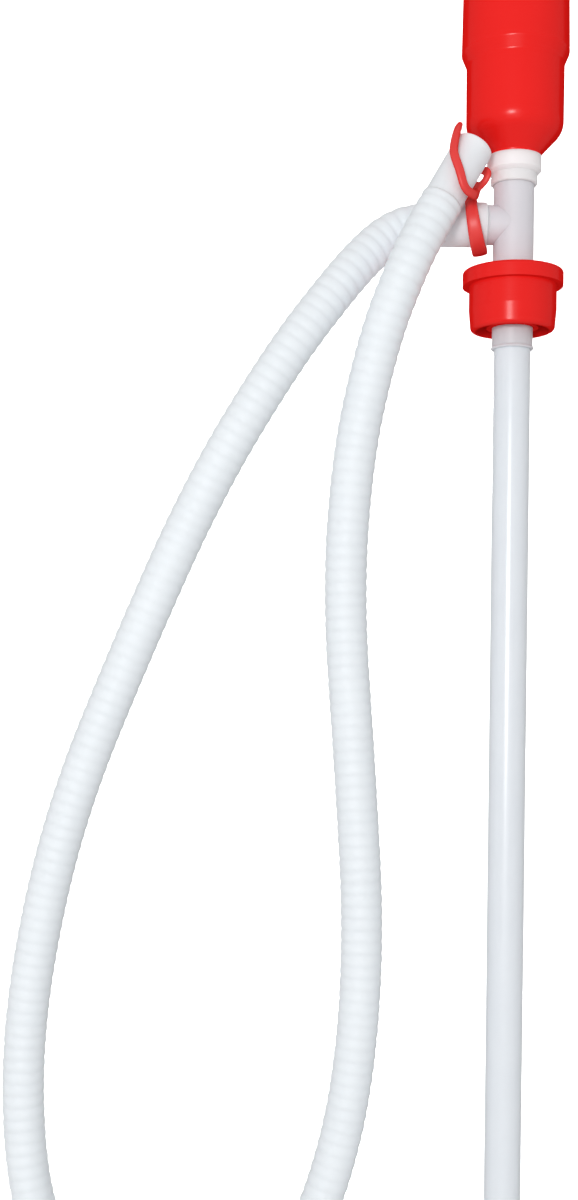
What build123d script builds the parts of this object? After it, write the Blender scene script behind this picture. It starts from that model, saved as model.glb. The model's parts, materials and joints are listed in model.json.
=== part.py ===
from build123d import *
import os
from math import pi, radians, tan

os.makedirs("parts", exist_ok=True)

# Hand siphon pump with a squeeze bulb, in millimetres.
# Origin: on the pump's axis, in the plane of the stopper flange's underside,
# which is the face that sits on a container's rim. +Z runs up through the bulb,
# and the outlet arm points along -X.

# Suction tube
TUBE_R = 7.65
TUBE_BORE_R = 6.25
TUBE_TOP = -2.0
TUBE_BOTTOM = -486.0

# Tee: a straight body, a tail that takes the tube, and the outlet arm
TEE_R = 8.5
TEE_BORE_R = 6.6
TEE_TOP = 50.5
TAIL_BOTTOM = -26.5
TAIL_BEAD = 0.45
VALVE_SHOULDER = 9.0
ARM_Z = 25.8
ARM_ROOT_R = 8.2
ARM_ROOT_END = 11.5
SPIGOT_R = 7.4
SPIGOT_END = 29.0
SPIGOT_BORE_R = 5.9
ARM_PORT_R = 4.6
ARM_PORT_END = 10.5

# Connector between the tee and the bulb
CONNECTOR_BOTTOM = 42.4
CONNECTOR_EDGE = 0.5
SLEEVE_R = 9.7
SLEEVE_TOP = 46.8
FLANGE_R = 11.35
FLANGE_START = 48.4
BULB_MOUTH = 54.2
NIPPLE_R = 8.2
NIPPLE_TOP = 66.0

# Squeeze bulb: a narrow neck, a cone, a lower barrel, a wider upper barrel and a shoulder
BULB_WALL = 1.5
BULB_NECK_R = 11.0
BULB_NECK_TOP = 55.0
BULB_LOW_R = 20.3
BULB_CONE_TOP = 64.9
BULB_LOW_DRAFT = 0.15
BULB_STEP = 92.5
BULB_STEP_RISE = 4.8
BULB_HIGH_R = 22.5
BULB_HIGH_DRAFT = 0.8
BULB_CROWN = 150.0
BULB_SHOULDER = 163.0
BULB_COLLAR_R = 9.6
BULB_COLLAR_TOP = 165.0
VENT_NECK_R = 8.8
VENT_BORE_R = 5.0
VENT_BORE_DEPTH = 15.0
VENT_RIM = 174.0

# Vent cap and its sealing washer
WASHER_R = 8.3
WASHER_THICK = 1.5
CAP_R = 11.5
CAP_BOTTOM = 165.6
CAP_TOP = 179.0
CAP_EDGE = 0.6
CAP_BEVEL = 1.5
CAP_CLEARANCE = 0.05
CAP_RIBS = 20
CAP_RIB_R = 0.7

# Stopper
STOPPER_FLANGE_R = 21.0
STOPPER_FLANGE_EDGE = 1.2
STOPPER_TOP = 6.3
PLUG_R = 18.25
PLUG_STRAIGHT = 10.0
PLUG_TIP_R = 17.5
PLUG_BOTTOM = -18.8
PLUG_TIP_ROUND = 1.8
STOPPER_WALL = 2.0
STOPPER_BORE_R = TEE_R + 0.05
BOSS_R = 10.8
BOSS_BOTTOM = -17.5
STOPPER_ROOF = 4.0
STOPPER_RIBS = 4
STOPPER_RIB_WIDTH = 1.6
STOPPER_RIB_BOTTOM = -14.0

# Check valves: a seat ring, a cage, and a disc that its stem guides
INLET_SEAT_THICK = 3.0
INLET_HOLE_R = 3.8
INLET_DISC_R = 5.2
OUTLET_SEAT_THICK = 2.0
OUTLET_HOLE_R = 3.0
OUTLET_DISC_R = 4.2
CAGE_LENGTH = 8.0
CAGE_WALL = 1.2
SEAT_BEVEL = 0.8
DISC_THICK = 1.1
STEM_R = 1.1
STEM_CLEARANCE = 0.05
STEM_PROUD = 0.6
HUB_R = 2.2
SPOKES = 3
SPOKE_WIDTH = 1.4
SPIDER_HEIGHT = 3.2

# How far a rib or a spoke runs into each wall that it joins
RIB_BITE = 0.5

# Strainer in the tube's lower end
STRAINER_SPIGOT = 12.0
STRAINER_BOTTOM = -500.0
STRAINER_WALL = 1.4
STRAINER_CHAMFER = 0.8
STRAINER_SLOTS = 6
SLOT_WIDTH = 2.4

# Discharge hose, its push-on cuff on the arm and its plain free end
HOSE_R = 8.8
HOSE_BORE_R = 6.6
CUFF_R = 9.2
CUFF_END = 31.0
FREE_CUFF_R = 8.2
FREE_CUFF_BORE_R = 6.6
FREE_CUFF_LENGTH = 29.0
CUFF_EDGE = 0.5

# The hose's route, from the cuff on the arm down through the hanging loop and back up
# to the free end, which the strap holds in front of the arm.
HOSE_ROUTE = [
    (-31.0, 0.0, 25.8),
    (-41.5, 0.0, 25.8),
    (-51.8, -1.0, 21.4),
    (-61.0, -4.5, 12.8),
    (-73.8, -11.0, -3.2),
    (-96.5, -20.0, -35.5),
    (-127.0, -24.0, -88.0),
    (-155.5, -18.0, -152.0),
    (-184.0, -9.0, -222.0),
    (-199.5, -2.0, -292.5),
    (-202.5, 0.0, -347.5),
    (-196.0, 0.0, -395.5),
    (-176.5, 0.0, -422.0),
    (-147.0, 0.0, -436.5),
    (-114.5, 0.0, -433.0),
    (-88.0, 0.0, -413.0),
    (-73.0, 0.0, -379.0),
    (-62.8, 0.0, -334.0),
    (-59.3, -1.0, -272.5),
    (-64.2, -3.5, -201.0),
    (-70.0, -8.0, -131.0),
    (-67.0, -15.0, -73.0),
    (-57.2, -22.0, -27.5),
    (-46.8, -24.0, 0.4),
    (-38.8, -21.1, 17.6),
    (-32.0, -18.0, 30.0),
]

# Strap: a band round the cuff on the arm, and a loop that wraps the hose's free end
BAND_R = 12.2
BAND_BORE_R = 10.35
BAND_WIDTH = 5.6
BAND_X = -16.0
BAND_Z = 25.3
BAND_TILT = 9.4
LOOP_CORD_R = 1.5
LOOP_CORNER_R = 2.2
LOOP_ROUTE = [
    (-17.0, -4.8, 38.4),
    (-18.4, -19.4, 32.2),
    (-23.3, -26.1, 33.2),
    (-25.9, -27.2, 40.2),
    (-28.0, -24.4, 49.2),
    (-25.2, -16.2, 61.6),
    (-24.4, -5.6, 59.2),
    (-18.0, 0.0, 50.6),
    (-12.6, -6.6, 46.2),
    (-12.9, -6.8, 42.5),
]
KNUCKLE_R = 2.2
KNUCKLE_DROP = 1.2


def turned(*points):
    """A solid of revolution about +Z from a closed outline of (radius, height) points."""
    return revolve(Plane.XZ * make_face(Polyline(*points, close=True)), Axis.Z)


def tube(outer, inner, bottom, top):
    """A straight round tube on +Z, between two heights."""
    return turned((inner, bottom), (outer, bottom), (outer, top), (inner, top))


def rod(radius, bottom, top):
    """A straight round rod on +Z, between two heights."""
    return turned((0, bottom), (radius, bottom), (radius, top), (0, top))


def ring_of(count, shape):
    """Copies of a shape, evenly spaced about +Z."""
    return [Rot(0, 0, 360 * i / count) * shape for i in range(count)]


def along_arm(shape):
    """A shape drawn on +Z, laid along the outlet arm so that its +Z points to -X."""
    return Pos(0, 0, ARM_Z) * Rot(0, -90, 0) * shape


def route_radii(route):
    """The largest arc that each corner's two runs allow."""
    points = [Vector(*p) for p in route]
    radii = []
    for before, corner, after in zip(points, points[1:], points[2:]):
        turn = (corner - before).get_angle(after - corner)
        shorter = min((corner - before).length, (after - corner).length)
        radii.append(0.45 * shorter / tan(radians(turn / 2)))
    return radii


def swept(path, *radii):
    """A round section swept along a path: solid, or a tube when a bore is given."""
    plane = Plane(origin=path @ 0, z_dir=path % 0)
    solids = [sweep(plane * Circle(radius), path=path) for radius in radii]
    return solids[0] - solids[1] if len(solids) > 1 else solids[0]


def suction_tube():
    return tube(TUBE_R, TUBE_BORE_R, TUBE_BOTTOM, TUBE_TOP)


def inlet_strainer():
    """A slotted thimble pushed into the tube, with a head of the tube's own diameter."""
    head_bore = TUBE_R - STRAINER_WALL
    body = tube(TUBE_BORE_R, TUBE_BORE_R - STRAINER_WALL, TUBE_BOTTOM, TUBE_BOTTOM + STRAINER_SPIGOT)
    body += tube(TUBE_R, head_bore, STRAINER_BOTTOM + STRAINER_WALL, TUBE_BOTTOM - STRAINER_WALL)
    body += tube(TUBE_R, TUBE_BORE_R - STRAINER_WALL, TUBE_BOTTOM - STRAINER_WALL, TUBE_BOTTOM)
    foot = rod(TUBE_R, STRAINER_BOTTOM, STRAINER_BOTTOM + STRAINER_WALL)
    body += chamfer(foot.faces().sort_by(Axis.Z)[0].edges(), STRAINER_CHAMFER)
    slot_height = TUBE_BOTTOM - STRAINER_BOTTOM - 4 * STRAINER_WALL
    slot = Pos(TUBE_R, 0, (TUBE_BOTTOM + STRAINER_BOTTOM) / 2) * Box(TUBE_R, SLOT_WIDTH, slot_height)
    return body - ring_of(STRAINER_SLOTS, slot)


def tee_body():
    """The moulded tee, hollow all through, with a shoulder in each leg that stops its valve."""
    body = rod(TEE_R, TAIL_BOTTOM, TEE_TOP)
    bead = turned(
        (0, TAIL_BOTTOM),
        (TEE_R, TAIL_BOTTOM),
        (TEE_R + TAIL_BEAD, TAIL_BOTTOM + TAIL_BEAD),
        (TEE_R, TAIL_BOTTOM + 3 * TAIL_BEAD),
        (0, TAIL_BOTTOM + 3 * TAIL_BEAD),
    )
    arm = along_arm(rod(ARM_ROOT_R, 0, ARM_ROOT_END) + rod(SPIGOT_R, 0, SPIGOT_END))
    body = body + bead + arm
    bores = rod(TEE_BORE_R, VALVE_SHOULDER, TEE_TOP) + rod(TUBE_R, TAIL_BOTTOM, VALVE_SHOULDER)
    arm_bore = rod(ARM_PORT_R, 0, ARM_PORT_END) + rod(SPIGOT_BORE_R, ARM_PORT_END, SPIGOT_END)
    return body - bores - along_arm(arm_bore)


def bulb_connector():
    """A sleeve over the tee's top, a flange under the bulb's mouth and a nipple inside its neck."""
    return turned(
        (TEE_R, CONNECTOR_BOTTOM),
        (SLEEVE_R - CONNECTOR_EDGE, CONNECTOR_BOTTOM),
        (SLEEVE_R, CONNECTOR_BOTTOM + CONNECTOR_EDGE),
        (SLEEVE_R, SLEEVE_TOP),
        (FLANGE_R, FLANGE_START),
        (FLANGE_R, BULB_MOUTH),
        (NIPPLE_R, BULB_MOUTH),
        (NIPPLE_R, NIPPLE_TOP),
        (TEE_BORE_R, NIPPLE_TOP),
        (TEE_BORE_R, TEE_TOP),
        (TEE_R, TEE_TOP),
    )


def bulb_section():
    """The bulb's whole upright section, from its mouth to the collar under its vent neck."""
    corners = [
        (BULB_NECK_R, BULB_MOUTH, 0),
        (BULB_NECK_R, BULB_NECK_TOP, 1.2),
        (BULB_LOW_R, BULB_CONE_TOP, 9.0),
        (BULB_LOW_R + BULB_LOW_DRAFT, BULB_STEP, 1.8),
        (BULB_HIGH_R, BULB_STEP + BULB_STEP_RISE, 1.6),
        (BULB_HIGH_R - BULB_HIGH_DRAFT, BULB_CROWN, 12.0),
        (BULB_COLLAR_R, BULB_SHOULDER, 2.5),
        (BULB_COLLAR_R, BULB_COLLAR_TOP, 0),
    ]
    right = [(radius, height) for radius, height, _ in corners]
    left = [(-radius, height) for radius, height in reversed(right)]
    section = make_face(Polyline(*right, *left, close=True))
    for radius, height, rounding in corners:
        if rounding:
            for side in (1, -1):
                corner = Vector(side * radius, height)
                nearest = min(section.vertices(), key=lambda v: (Vector(v) - corner).length)
                section = fillet(nearest, rounding)
    return section


def pump_bulb():
    """One thin moulding: a stepped bottle with an open mouth below and a vent neck on top."""
    section = bulb_section()
    right_half = Pos(BULB_HIGH_R, BULB_CROWN) * Rectangle(2 * BULB_HIGH_R, 2 * BULB_CROWN)
    outer = revolve(Plane.XZ * (section & right_half), Axis.Z)
    cavity = revolve(Plane.XZ * (offset(section, -BULB_WALL) & right_half), Axis.Z)
    outer += rod(VENT_NECK_R, BULB_COLLAR_TOP, VENT_RIM)
    mouth = rod(NIPPLE_R, BULB_MOUTH, NIPPLE_TOP)
    return outer - cavity - mouth - rod(VENT_BORE_R, VENT_RIM - VENT_BORE_DEPTH, VENT_RIM)


def vent_washer():
    return rod(WASHER_R, VENT_RIM, VENT_RIM + WASHER_THICK)


def vent_cap():
    """A ribbed screw cap that presses the washer on the vent neck's rim."""
    bore_r = VENT_NECK_R + CAP_CLEARANCE
    shell = turned(
        (bore_r, CAP_BOTTOM),
        (CAP_R - CAP_EDGE, CAP_BOTTOM),
        (CAP_R, CAP_BOTTOM + CAP_EDGE),
        (CAP_R, CAP_TOP - CAP_BEVEL),
        (CAP_R - CAP_BEVEL, CAP_TOP),
        (0, CAP_TOP),
        (0, VENT_RIM + WASHER_THICK),
        (bore_r, VENT_RIM + WASHER_THICK),
    )
    rib = Pos(CAP_R, 0, 0) * rod(CAP_RIB_R, CAP_BOTTOM + CAP_BEVEL, CAP_TOP - CAP_BEVEL - CAP_RIB_R)
    for copy in ring_of(CAP_RIBS, rib):
        shell += copy
    return shell


def drum_stopper():
    """A hollow plug with a seating flange. Its inner boss slides on the tee's tail."""
    skirt = turned(
        (0, STOPPER_TOP),
        (STOPPER_FLANGE_R, STOPPER_TOP),
        (STOPPER_FLANGE_R, 0),
        (PLUG_R, 0),
        (PLUG_R, -PLUG_STRAIGHT),
        (PLUG_TIP_R, PLUG_BOTTOM),
        (0, PLUG_BOTTOM),
    )
    skirt = fillet(skirt.faces().sort_by(Axis.Z)[0].edges(), PLUG_TIP_ROUND)
    skirt = fillet(skirt.faces().sort_by(Axis.Z)[-1].edges(), STOPPER_FLANGE_EDGE)
    inner_r = PLUG_TIP_R - STOPPER_WALL
    body = skirt - tube(inner_r, BOSS_R, PLUG_BOTTOM, STOPPER_ROOF)
    body -= rod(BOSS_R, PLUG_BOTTOM, BOSS_BOTTOM)
    rib_height = STOPPER_ROOF - STOPPER_RIB_BOTTOM
    rib = Pos((BOSS_R + inner_r) / 2, 0, STOPPER_ROOF - rib_height / 2)
    rib = rib * Box(inner_r - BOSS_R + 2 * RIB_BITE, STOPPER_RIB_WIDTH, rib_height)
    for copy in ring_of(STOPPER_RIBS, rib):
        body += copy
    return body - rod(STOPPER_BORE_R, BOSS_BOTTOM, STOPPER_TOP)


def valve_seat(outer, hole, start, thick):
    """A ring with a bevelled hole. The disc shuts on its far face."""
    return turned(
        (hole + SEAT_BEVEL, start),
        (outer, start),
        (outer, start + thick),
        (hole, start + thick),
        (hole, start + SEAT_BEVEL),
    )


def valve_cage(outer, start):
    """A ring that stands on the seat, with a spider whose hub guides the disc's stem."""
    inner = outer - CAGE_WALL
    end = start + CAGE_LENGTH
    body = tube(outer, inner, start, end) + rod(HUB_R, end - SPIDER_HEIGHT, end)
    spoke = Pos((inner + HUB_R) / 2, 0, end - SPIDER_HEIGHT / 2)
    spoke = spoke * Box(inner - HUB_R + 2 * RIB_BITE, SPOKE_WIDTH, SPIDER_HEIGHT)
    for copy in ring_of(SPOKES, spoke):
        body += copy
    return body - rod(STEM_R + STEM_CLEARANCE, end - SPIDER_HEIGHT, end)


def valve_disc(radius, start):
    """A flat disc with a guide stem."""
    stem_start = start + DISC_THICK
    return rod(radius, start, stem_start) + rod(STEM_R, stem_start, start + CAGE_LENGTH + STEM_PROUD)


def outlet_cuff():
    """The hose's smooth end, pushed over the arm's spigot up to its shoulder."""
    sleeve = turned(
        (SPIGOT_R, ARM_ROOT_END),
        (CUFF_R - CUFF_EDGE, ARM_ROOT_END),
        (CUFF_R, ARM_ROOT_END + CUFF_EDGE),
        (CUFF_R, CUFF_END - (CUFF_R - HOSE_R)),
        (HOSE_R, CUFF_END),
        (HOSE_BORE_R, CUFF_END),
        (HOSE_BORE_R, SPIGOT_END),
        (SPIGOT_R, SPIGOT_END),
    )
    return along_arm(sleeve)


def discharge_hose():
    """The hanging hose, as a plain tube along straight runs joined by tangent arcs."""
    radii = route_radii(HOSE_ROUTE)
    path = FilletPolyline(*HOSE_ROUTE, radius=radii)
    hose = swept(path, HOSE_R, HOSE_BORE_R)
    expected = pi * (HOSE_R**2 - HOSE_BORE_R**2) * path.length
    print("hose arcs (mm):", [round(radius) for radius in radii])
    print(f"hose length {path.length:.0f} mm, volume over expected {hose.volume / expected:.4f}")
    return hose


def free_end_cuff():
    """The hose's smooth free end, in line with its last run: liquid leaves by its open mouth."""
    last_run = Vector(*HOSE_ROUTE[-1]) - Vector(*HOSE_ROUTE[-2])
    joint = Plane(origin=HOSE_ROUTE[-1], z_dir=last_run)
    sleeve = turned(
        (FREE_CUFF_BORE_R, 0),
        (FREE_CUFF_R, 0),
        (FREE_CUFF_R, FREE_CUFF_LENGTH - CUFF_EDGE),
        (FREE_CUFF_R - CUFF_EDGE, FREE_CUFF_LENGTH),
        (FREE_CUFF_BORE_R, FREE_CUFF_LENGTH),
    )
    return joint.location * sleeve


def hose_strap():
    """A flexible figure of eight that parks the hose's free end beside the bulb."""
    band = tube(BAND_R, BAND_BORE_R, -BAND_WIDTH / 2, BAND_WIDTH / 2)
    band = Pos(BAND_X, 0, BAND_Z) * Rot(0, -90 - BAND_TILT, 0) * band
    half = len(LOOP_ROUTE) // 2
    near = (Vector(*LOOP_ROUTE[-1]) + Vector(*LOOP_ROUTE[0])) / 2
    far = (Vector(*LOOP_ROUTE[half - 1]) + Vector(*LOOP_ROUTE[half])) / 2
    knuckle = Pos(0, 0, -KNUCKLE_DROP) * Pos(*LOOP_ROUTE[0]) * Rot(0, -90 - BAND_TILT, 0)
    strap = band + knuckle * rod(KNUCKLE_R, -BAND_WIDTH / 2, BAND_WIDTH / 2)
    for route in ([near, *LOOP_ROUTE[:half], far], [far, *LOOP_ROUTE[half:], near]):
        strap += swept(FilletPolyline(*route, radius=LOOP_CORNER_R), LOOP_CORD_R)
    return strap


NODES = {
    "pump_bulb": pump_bulb(),
    "vent_cap": vent_cap(),
    "vent_washer": vent_washer(),
    "bulb_connector": bulb_connector(),
    "tee_body": tee_body(),
    "inlet_valve_seat": valve_seat(TUBE_R, INLET_HOLE_R, TUBE_TOP, INLET_SEAT_THICK),
    "inlet_valve_disc": valve_disc(INLET_DISC_R, TUBE_TOP + INLET_SEAT_THICK),
    "inlet_valve_cage": valve_cage(TUBE_R, TUBE_TOP + INLET_SEAT_THICK),
    "outlet_valve_seat": along_arm(
        valve_seat(SPIGOT_BORE_R, OUTLET_HOLE_R, ARM_PORT_END, OUTLET_SEAT_THICK)
    ),
    "outlet_valve_disc": along_arm(valve_disc(OUTLET_DISC_R, ARM_PORT_END + OUTLET_SEAT_THICK)),
    "outlet_valve_cage": along_arm(valve_cage(SPIGOT_BORE_R, ARM_PORT_END + OUTLET_SEAT_THICK)),
    "drum_stopper": drum_stopper(),
    "suction_tube": suction_tube(),
    "inlet_strainer": inlet_strainer(),
    "outlet_cuff": outlet_cuff(),
    "discharge_hose": discharge_hose(),
    "free_end_cuff": free_end_cuff(),
    "hose_strap": hose_strap(),
}

for name, shape in NODES.items():
    export_step(shape, f"parts/{name}.step")
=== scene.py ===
import json
from math import atan, cos, pi, radians, sin

import bpy
from mathutils import Matrix, Vector


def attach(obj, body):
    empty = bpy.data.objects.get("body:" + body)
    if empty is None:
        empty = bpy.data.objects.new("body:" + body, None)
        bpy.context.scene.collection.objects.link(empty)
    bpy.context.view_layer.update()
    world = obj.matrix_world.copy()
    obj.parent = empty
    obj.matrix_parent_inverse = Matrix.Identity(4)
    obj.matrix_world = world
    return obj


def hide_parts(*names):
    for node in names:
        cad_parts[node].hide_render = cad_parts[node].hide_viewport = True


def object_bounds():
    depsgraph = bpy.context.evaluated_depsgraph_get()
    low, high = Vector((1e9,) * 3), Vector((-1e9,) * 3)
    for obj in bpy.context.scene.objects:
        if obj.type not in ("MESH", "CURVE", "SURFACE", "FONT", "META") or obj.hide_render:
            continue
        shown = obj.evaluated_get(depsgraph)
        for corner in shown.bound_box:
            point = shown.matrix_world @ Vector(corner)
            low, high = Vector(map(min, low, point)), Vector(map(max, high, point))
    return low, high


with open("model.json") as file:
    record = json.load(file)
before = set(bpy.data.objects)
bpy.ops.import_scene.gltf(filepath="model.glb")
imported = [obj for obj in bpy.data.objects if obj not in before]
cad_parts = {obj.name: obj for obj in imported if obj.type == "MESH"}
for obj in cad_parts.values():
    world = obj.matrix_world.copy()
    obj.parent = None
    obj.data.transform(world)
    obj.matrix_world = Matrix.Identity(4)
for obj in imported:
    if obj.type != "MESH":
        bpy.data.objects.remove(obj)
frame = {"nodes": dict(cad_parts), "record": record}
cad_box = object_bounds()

# Hand siphon pump. Everything is in metres, in the frame of the CAD model:
# +Z runs up through the squeeze bulb, -X along the outlet arm, and the parked
# hose end is on the -Y side.

# Camera: in front of the pump, level, and turned a little about its own line of sight
VIEW_DISTANCE = 0.640
VIEW_HEIGHT = 0.504
VIEW_SIDE = -0.0921
VIEW_LEVEL = -0.1601
VIEW_SHIFT = 0.0546
VIEW_ROLL = 0.0119

# Hose: its size, the pitch and shape of its corrugations, and its route
HOSE_DIAMETER = 0.0176
HOSE_BORE_R = 0.0066
RING_PITCH = 0.005
RING_DEPTH = 0.0003
RING_SHARPNESS = 1.6
RING_STEPS = 10
HOSE_SIDES = 40
HOSE_ROUTE = [
    (-0.0310, 0.0, 0.0258),
    (-0.0415, 0.0, 0.0258),
    (-0.0518, -0.0010, 0.0214),
    (-0.0610, -0.0045, 0.0128),
    (-0.0738, -0.0110, -0.0032),
    (-0.0965, -0.0200, -0.0355),
    (-0.1270, -0.0240, -0.0880),
    (-0.1555, -0.0180, -0.1520),
    (-0.1840, -0.0090, -0.2220),
    (-0.1995, -0.0020, -0.2925),
    (-0.2025, 0.0, -0.3475),
    (-0.1960, 0.0, -0.3955),
    (-0.1765, 0.0, -0.4220),
    (-0.1470, 0.0, -0.4365),
    (-0.1145, 0.0, -0.4330),
    (-0.0880, 0.0, -0.4130),
    (-0.0730, 0.0, -0.3790),
    (-0.0628, 0.0, -0.3340),
    (-0.0593, -0.0010, -0.2725),
    (-0.0642, -0.0035, -0.2010),
    (-0.0700, -0.0080, -0.1310),
    (-0.0670, -0.0150, -0.0730),
    (-0.0572, -0.0220, -0.0275),
    (-0.0468, -0.0240, 0.0004),
    (-0.0388, -0.0211, 0.0176),
    (-0.0320, -0.0180, 0.0300),
]

# Strap: a band round the outlet cuff, wider below, and a loop round the hose's free end
BAND_CENTRE = (-0.0160, 0.0, 0.0253)
BAND_LEAN = radians(9.4)
BAND_YAW = radians(-12)
BAND_BORE_R = 0.0106
BAND_THICK = 0.00185
BAND_WIDTH_TOP = 0.0046
BAND_WIDTH_BOTTOM = 0.0064
BAND_STEPS = 72
LOOP_WIDTH = 0.0036
LOOP_THICK = 0.0024
LOOP_ROUTE = [
    (-0.0170, -0.0048, 0.0384),
    (-0.0184, -0.0194, 0.0322),
    (-0.0233, -0.0261, 0.0332),
    (-0.0259, -0.0272, 0.0402),
    (-0.0280, -0.0244, 0.0492),
    (-0.0252, -0.0162, 0.0616),
    (-0.0244, -0.0056, 0.0592),
    (-0.0180, 0.0, 0.0506),
    (-0.0126, -0.0066, 0.0462),
    (-0.0129, -0.0068, 0.0425),
]
NECK_FOOT = (-0.0176, -0.0010, 0.0356)
NECK_HEAD = (-0.0160, -0.0056, 0.0425)
NECK_WIDTH = 0.0046
NECK_THICK = 0.0030
NECK_STEPS = 12
NECK_FULLNESS = 6
NECK_TIP = 0.02
STRIP_CORNER = 0.7
FREE_CUFF_R = 0.0082
STRAP_GAP = 0.0002
STRAP_VOXEL = 0.00028
STRAP_SMOOTHING = 8

# Stage: a floor that curves up into a backdrop
FLOOR_GAP = 0.002
STAGE_HALF = 3.0
STAGE_BACK = 1.2
STAGE_CURVE = 0.5
STAGE_TOP = 2.5
STAGE_STEPS = 24
STAGE_WHITE = (0.93, 0.93, 0.93)
STAGE_ROUGH = 0.9

# Light: the white room's strength, the point that the lamps face, and each lamp's place,
# size and power in watts
ROOM_LIGHT = 0.60
LAMP_TARGET = (-0.08, 0.0, -0.12)
KEY_PLACE = (-0.40, -1.42, -0.08)
KEY_SIZE = (0.28, 0.28)
KEY_POWER = 9.5
FILL_PLACE = (-0.30, -1.50, -0.40)
FILL_SIZE = (0.9, 1.2)
FILL_POWER = 3.5
BEHIND_PLACE = (0.10, 1.10, 0.15)
BEHIND_SIZE = (0.25, 0.25)
BEHIND_POWER = 4.5
BACKDROP_PLACE = (0.0, 0.3, 1.7)
BACKDROP_TARGET = (0.0, 1.7, 0.0)
BACKDROP_SIZE = (3.0, 0.8)
BACKDROP_POWER = 90

# Plastics: how a moulded skin varies, and how red gloss and milky depth behave
CLOUD_SCALE = 45
CLOUD_DETAIL = 4
GLOSS_SPREAD = 0.15
SKIN_DETAIL = 3
SKIN_DEPTH = 0.0001
SHINE_FULL_AT = 0.15
SHINE_GONE_AT = 0.6
MILKY_SHARE = 0.6
MILKY_SPECK = 0.03
BULB_RED = (0.79, 0.011, 0.009)
CAP_RED = (0.74, 0.015, 0.013)
STOPPER_RED = (0.76, 0.012, 0.010)
STRAP_RED = (0.74, 0.045, 0.040)
TEE_WHITE = (0.69, 0.68, 0.72)
COLLAR_WHITE = (0.88, 0.86, 0.87)
TUBE_WHITE = (0.80, 0.855, 0.93)
HOSE_WHITE = (0.79, 0.838, 0.878)
VALVE_WHITE = (0.85, 0.85, 0.85)
DISC_BLUE = (0.30, 0.42, 0.60)
WASHER_BLACK = (0.03, 0.03, 0.03)


def add_camera():
    """A level camera that looks along +Y."""
    camera = bpy.data.objects.new("camera", bpy.data.cameras.new("camera"))
    bpy.context.collection.objects.link(camera)
    camera.data.sensor_fit = "VERTICAL"
    camera.data.angle_y = 2 * atan(VIEW_HEIGHT / 2 / VIEW_DISTANCE)
    camera.data.shift_y = VIEW_SHIFT
    place = Matrix.Translation((VIEW_SIDE, -VIEW_DISTANCE, VIEW_LEVEL))
    camera.matrix_world = place @ Matrix.Rotation(pi / 2, 4, "X") @ Matrix.Rotation(VIEW_ROLL, 4, "Z")
    bpy.context.scene.camera = camera


def spline_points(route, resolution=24):
    """Points read from the smooth curve whose control points are the route."""
    curve = bpy.data.curves.new("route", "CURVE")
    curve.dimensions = "3D"
    spline = curve.splines.new("NURBS")
    spline.points.add(len(route) - 1)
    for point, place in zip(spline.points, route):
        point.co = (*place, 1)
    spline.order_u = 3
    spline.use_endpoint_u = True
    spline.resolution_u = resolution
    holder = bpy.data.objects.new("route", curve)
    mesh = bpy.data.meshes.new_from_object(holder)
    points = [vertex.co.copy() for vertex in mesh.vertices]
    bpy.data.objects.remove(holder)
    bpy.data.curves.remove(curve)
    bpy.data.meshes.remove(mesh)
    return points


def evenly_spaced(points, count):
    """The same line as count points, equally far apart along it."""
    reach = [0.0]
    for a, b in zip(points, points[1:]):
        reach.append(reach[-1] + (b - a).length)
    spaced = []
    k = 0
    for i in range(count):
        target = reach[-1] * i / (count - 1)
        while k < len(points) - 2 and reach[k + 1] < target:
            k += 1
        share = (target - reach[k]) / (reach[k + 1] - reach[k])
        spaced.append(points[k].lerp(points[k + 1], share))
    return spaced, reach[-1]


def frames_along(points):
    """Two directions square to the line at each point, carried along it without twist."""
    side = Vector((0, 1, 0))
    frames = []
    for i in range(len(points)):
        ahead = (points[min(i + 1, len(points) - 1)] - points[max(i - 1, 0)]).normalized()
        side = (side - ahead * side.dot(ahead)).normalized()
        frames.append((side, ahead.cross(side)))
    return frames


def ring_mesh(name, rings, closed=True):
    """A mesh from rings of points: each is joined to the next, and if closed the last to the first."""
    sides = len(rings[0])
    verts = [tuple(p) for ring in rings for p in ring]
    faces = []
    count = len(rings) if closed else len(rings) - 1
    for i in range(count):
        a = i * sides
        b = (i + 1) % len(rings) * sides
        for k in range(sides):
            n = (k + 1) % sides
            faces.append((a + k, a + n, b + n, b + k))
    mesh = bpy.data.meshes.new(name)
    mesh.from_pydata(verts, [], faces)
    mesh.update()
    for face in mesh.polygons:
        face.use_smooth = True
    piece = bpy.data.objects.new(name, mesh)
    bpy.context.collection.objects.link(piece)
    return piece


def add_hose():
    """The corrugated hose: a closed wall between its ringed outside and its smooth bore."""
    line = spline_points(HOSE_ROUTE)
    length = evenly_spaced(line, 2)[1]
    rings_along = round(length / RING_PITCH)
    points, length = evenly_spaced(line, rings_along * RING_STEPS + 1)
    frames = frames_along(points)
    crest = HOSE_DIAMETER / 2

    def ring(i, radius):
        side, up = frames[i]
        turns = [2 * pi * k / HOSE_SIDES for k in range(HOSE_SIDES)]
        return [points[i] + side * radius * cos(t) + up * radius * sin(t) for t in turns]

    outside = []
    for i in range(len(points)):
        groove = ((1 - cos(2 * pi * i / RING_STEPS)) / 2) ** RING_SHARPNESS
        outside.append(ring(i, crest - RING_DEPTH * groove))
    inside = [ring(i, HOSE_BORE_R) for i in range(0, len(points), RING_STEPS // 2)]
    piece = ring_mesh("hose", outside + inside[::-1])
    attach(piece, "pump")
    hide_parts("discharge_hose")
    return piece


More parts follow.
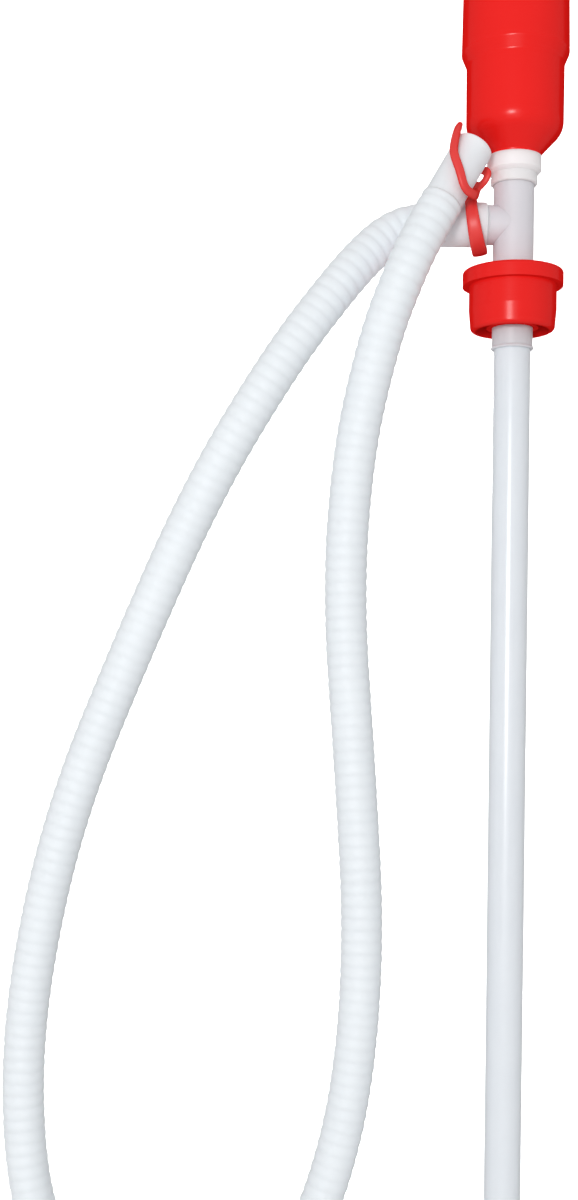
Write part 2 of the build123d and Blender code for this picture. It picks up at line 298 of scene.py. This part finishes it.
def rounded(centre, across, through, width, thick, steps=20):
    """A ring of points round a flat strip's section: a rectangle with well rounded corners."""
    ring = []
    for k in range(steps):
        turn = 2 * pi * k / steps
        c, s = cos(turn), sin(turn)
        w = abs(c) ** STRIP_CORNER * (1 if c > 0 else -1)
        t = abs(s) ** STRIP_CORNER * (1 if s > 0 else -1)
        ring.append(centre + across * w * width / 2 + through * t * thick / 2)
    return ring


def smooth_loop(route, steps=12):
    """A closed smooth line through every point of a route."""
    knots = [Vector(p) for p in route]
    count = len(knots)
    line = []
    for i in range(count):
        a, b, c, d = (knots[(i + j) % count] for j in (-1, 0, 1, 2))
        for k in range(steps):
            t = k / steps
            bend = (2 * a - 5 * b + 4 * c - d) * t * t + (3 * b - a - 3 * c + d) * t**3
            line.append((2 * b + (c - a) * t + bend) / 2)
    return line


def strap_band():
    """The band's rings. It leans, and it is wider at the bottom than at the top."""
    turned = Matrix.Rotation(BAND_YAW, 3, "Z")
    axis = turned @ Vector((cos(BAND_LEAN), 0, sin(BAND_LEAN)))
    upward = turned @ Vector((-sin(BAND_LEAN), 0, cos(BAND_LEAN)))
    sideways = turned @ Vector((0, 1, 0))
    rings = []
    for k in range(BAND_STEPS):
        turn = 2 * pi * k / BAND_STEPS
        outward = sideways * sin(turn) + upward * cos(turn)
        low = (1 - cos(turn)) / 2
        width = BAND_WIDTH_TOP + (BAND_WIDTH_BOTTOM - BAND_WIDTH_TOP) * low
        centre = Vector(BAND_CENTRE) + outward * (BAND_BORE_R + BAND_THICK / 2)
        rings.append(rounded(centre, axis, outward, width, BAND_THICK))
    return rings


def strap_loop():
    """The loop's rings: a flat strip that lies round the hose's free end without cutting it."""
    root = Vector(HOSE_ROUTE[-1])
    hose_axis = (root - Vector(HOSE_ROUTE[-2])).normalized()
    clear = FREE_CUFF_R + LOOP_THICK / 2 + STRAP_GAP
    line = []
    for point in smooth_loop(LOOP_ROUTE):
        off = point - root
        off -= hose_axis * off.dot(hose_axis)
        if off.length < clear:
            point = point + off.normalized() * (clear - off.length)
        line.append(point)
    rings = []
    for i, point in enumerate(line):
        ahead = (line[(i + 1) % len(line)] - line[i - 1]).normalized()
        outward = point - root
        outward -= hose_axis * outward.dot(hose_axis)
        outward = (outward - ahead * outward.dot(ahead)).normalized()
        rings.append(rounded(point, ahead.cross(outward), outward, LOOP_WIDTH, LOOP_THICK))
    return rings


def strap_neck():
    """A short thick strip that rises from the band's top into the loop's crotch."""
    foot = Vector(NECK_FOOT)
    head = Vector(NECK_HEAD)
    along = (head - foot).normalized()
    across = (Vector((1, 0, 0)) - along * along.x).normalized()
    through = across.cross(along)
    rings = []
    for k in range(NECK_STEPS + 1):
        share = k / NECK_STEPS
        full = max(NECK_TIP, 1 - (2 * share - 1) ** NECK_FULLNESS)
        place = foot.lerp(head, share)
        rings.append(rounded(place, across, through, NECK_WIDTH * full, NECK_THICK * full))
    return rings


def add_strap():
    """One soft moulding: the band, its neck and the loop, run together where they meet."""
    band = ring_mesh("hose_strap_soft", strap_band())
    loop = ring_mesh("strap_loop", strap_loop())
    neck = ring_mesh("strap_neck", strap_neck(), closed=False)
    with bpy.context.temp_override(active_object=band, selected_editable_objects=[band, loop, neck]):
        bpy.ops.object.join()
    remesh = band.modifiers.new("remesh", "REMESH")
    remesh.mode = "VOXEL"
    remesh.voxel_size = STRAP_VOXEL
    soften = band.modifiers.new("soften", "SMOOTH")
    soften.iterations = STRAP_SMOOTHING
    bpy.context.view_layer.update()
    shape = bpy.data.meshes.new_from_object(band.evaluated_get(bpy.context.evaluated_depsgraph_get()))
    band.modifiers.clear()
    band.data = shape
    for face in shape.polygons:
        face.use_smooth = True
    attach(band, "pump")
    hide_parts("hose_strap")
    return band


def new_material(name):
    """An empty material, its node tree and its main shader."""
    material = bpy.data.materials.new(name)
    material.use_nodes = True
    tree = material.node_tree
    return material, tree, tree.nodes["Principled BSDF"]


def moulded(name, colour, rough, speck=0.06, grain=1500, bump=0.2):
    """Moulded plastic: slight changes of colour and gloss through it, and a fine skin texture."""
    material, tree, shader = new_material(name)
    place = tree.nodes.new("ShaderNodeTexCoord").outputs["Object"]
    cloud = tree.nodes.new("ShaderNodeTexNoise")
    cloud.inputs["Scale"].default_value = CLOUD_SCALE
    cloud.inputs["Detail"].default_value = CLOUD_DETAIL
    tree.links.new(place, cloud.inputs["Vector"])
    tint = tree.nodes.new("ShaderNodeMix")
    tint.data_type = "RGBA"
    tint.inputs["A"].default_value = (*[c * (1 - speck) for c in colour], 1)
    tint.inputs["B"].default_value = (*[min(1, c * (1 + speck)) for c in colour], 1)
    tree.links.new(cloud.outputs["Fac"], tint.inputs["Factor"])
    tree.links.new(tint.outputs["Result"], shader.inputs["Base Color"])
    gloss = tree.nodes.new("ShaderNodeMapRange")
    gloss.inputs["To Min"].default_value = rough * (1 - GLOSS_SPREAD)
    gloss.inputs["To Max"].default_value = rough * (1 + GLOSS_SPREAD)
    tree.links.new(cloud.outputs["Fac"], gloss.inputs["Value"])
    tree.links.new(gloss.outputs["Result"], shader.inputs["Roughness"])
    skin = tree.nodes.new("ShaderNodeTexNoise")
    skin.inputs["Scale"].default_value = grain
    skin.inputs["Detail"].default_value = SKIN_DETAIL
    tree.links.new(place, skin.inputs["Vector"])
    relief = tree.nodes.new("ShaderNodeBump")
    relief.inputs["Strength"].default_value = bump
    relief.inputs["Distance"].default_value = SKIN_DEPTH
    tree.links.new(skin.outputs["Fac"], relief.inputs["Height"])
    tree.links.new(relief.outputs["Normal"], shader.inputs["Normal"])
    return material


def red_moulded(name, colour, rough, shine, **skin):
    """Moulded red plastic whose gloss dies away towards its edges, so that they stay deep red."""
    material = moulded(name, colour, rough, **skin)
    tree = material.node_tree
    facing = tree.nodes.new("ShaderNodeLayerWeight")
    facing.inputs["Blend"].default_value = 0.5
    fade = tree.nodes.new("ShaderNodeMapRange")
    fade.inputs["From Min"].default_value = SHINE_FULL_AT
    fade.inputs["From Max"].default_value = SHINE_GONE_AT
    fade.inputs["To Min"].default_value = shine
    fade.inputs["To Max"].default_value = 0.0
    tree.links.new(facing.outputs["Facing"], fade.inputs["Value"])
    tree.links.new(fade.outputs["Result"], tree.nodes["Principled BSDF"].inputs["Specular IOR Level"])
    return material


def milky(name, colour, rough, depth):
    """Milky polyethylene that light soaks into, depth in metres."""
    material = moulded(name, colour, rough, speck=MILKY_SPECK)
    shader = material.node_tree.nodes["Principled BSDF"]
    shader.inputs["Subsurface Weight"].default_value = MILKY_SHARE
    shader.inputs["Subsurface Radius"].default_value = (1.0, 1.0, 1.0)
    shader.inputs["Subsurface Scale"].default_value = depth
    return material


def slot_materials():
    """The material of each of the record's slots."""
    return {
        "red_soft_plastic": red_moulded(
            "bulb_red", BULB_RED, rough=0.235, shine=0.22, speck=0.03, grain=900, bump=0.04
        ),
        "red_hard_plastic": red_moulded("cap_red", CAP_RED, rough=0.36, shine=0.3),
        "red_stopper_plastic": red_moulded(
            "stopper_red", STOPPER_RED, rough=0.235, shine=0.22, speck=0.03, grain=900, bump=0.12
        ),
        "red_strap_plastic": red_moulded("strap_red", STRAP_RED, rough=0.40, shine=0.4),
        "white_plastic": milky("tee_white", TEE_WHITE, rough=0.36, depth=0.004),
        "tube_plastic": milky("tube_white", TUBE_WHITE, rough=0.22, depth=0.005),
        "hose_plastic": milky("hose_white", HOSE_WHITE, rough=0.55, depth=0.004),
        "valve_plastic": milky("valve_white", VALVE_WHITE, rough=0.40, depth=0.002),
        "valve_disc": moulded("disc_blue", DISC_BLUE, rough=0.45),
        "seal": moulded("washer_black", WASHER_BLACK, rough=0.65, bump=0.5),
    }


def finish_nodes(materials):
    """Puts each slot's material on the CAD nodes that use it; the collar is whiter than the tee."""
    for row in frame["record"]["subparts"]:
        node = frame["nodes"][row["node"]]
        node.data.materials.clear()
        node.data.materials.append(materials[row["material_slot"]])
    collar = frame["nodes"]["bulb_connector"]
    collar.data.materials[0] = milky("collar_white", COLLAR_WHITE, rough=0.34, depth=0.004)


def add_stage():
    """A pale floor that curves up into a backdrop behind the object."""
    low = cad_box[0][2] - FLOOR_GAP
    outline = [(-STAGE_HALF, low), (STAGE_BACK, low)]
    for i in range(1, STAGE_STEPS + 1):
        turn = pi / 2 * i / STAGE_STEPS
        outline.append((STAGE_BACK + STAGE_CURVE * sin(turn), low + STAGE_CURVE * (1 - cos(turn))))
    outline.append((STAGE_BACK + STAGE_CURVE, low + STAGE_TOP))
    verts = [(x, y, z) for y, z in outline for x in (-STAGE_HALF, STAGE_HALF)]
    faces = [(2 * i, 2 * i + 1, 2 * i + 3, 2 * i + 2) for i in range(len(outline) - 1)]
    mesh = bpy.data.meshes.new("floor")
    mesh.from_pydata(verts, [], faces)
    for face in mesh.polygons:
        face.use_smooth = True
    floor = bpy.data.objects.new("floor", mesh)
    bpy.context.collection.objects.link(floor)
    floor.visible_glossy = False
    floor.visible_diffuse = False
    material, _, shader = new_material("stage_white")
    shader.inputs["Base Color"].default_value = (*STAGE_WHITE, 1)
    shader.inputs["Roughness"].default_value = STAGE_ROUGH
    mesh.materials.append(material)
    return floor


def add_light(name, place, target, size, power):
    """A rectangular soft light that faces a point."""
    data = bpy.data.lights.new(name, "AREA")
    data.shape = "RECTANGLE"
    data.size, data.size_y = size
    data.energy = power
    light = bpy.data.objects.new(name, data)
    bpy.context.collection.objects.link(light)
    light.location = place
    light.rotation_euler = (Vector(target) - Vector(place)).to_track_quat("-Z", "Y").to_euler()
    return light


def light_only(light, receivers):
    """Makes a light shine on some objects only."""
    collection = bpy.data.collections.new("lit_by_" + light.name)
    for receiver in receivers:
        collection.objects.link(receiver)
    light.light_linking.receiver_collection = collection


def add_lights(floor):
    """Soft light from the front, so that the object's edges fall off, and from behind, for its back."""
    bpy.context.scene.view_settings.view_transform = "Standard"
    world = bpy.data.worlds.new("world")
    bpy.context.scene.world = world
    world.use_nodes = True
    room = world.node_tree.nodes["Background"]
    room.inputs["Color"].default_value = (1, 1, 1, 1)
    room.inputs["Strength"].default_value = ROOM_LIGHT
    add_light("key", KEY_PLACE, LAMP_TARGET, KEY_SIZE, KEY_POWER)
    add_light("fill", FILL_PLACE, LAMP_TARGET, FILL_SIZE, FILL_POWER)
    behind = add_light("behind", BEHIND_PLACE, LAMP_TARGET, BEHIND_SIZE, BEHIND_POWER)
    behind.visible_camera = False
    backdrop = add_light("backdrop", BACKDROP_PLACE, BACKDROP_TARGET, BACKDROP_SIZE, BACKDROP_POWER)
    light_only(backdrop, [floor])


add_camera()
hose = add_hose()
strap = add_strap()
materials = slot_materials()
finish_nodes(materials)
hose.data.materials.append(materials["hose_plastic"])
strap.data.materials.append(materials["red_strap_plastic"])
add_lights(add_stage())
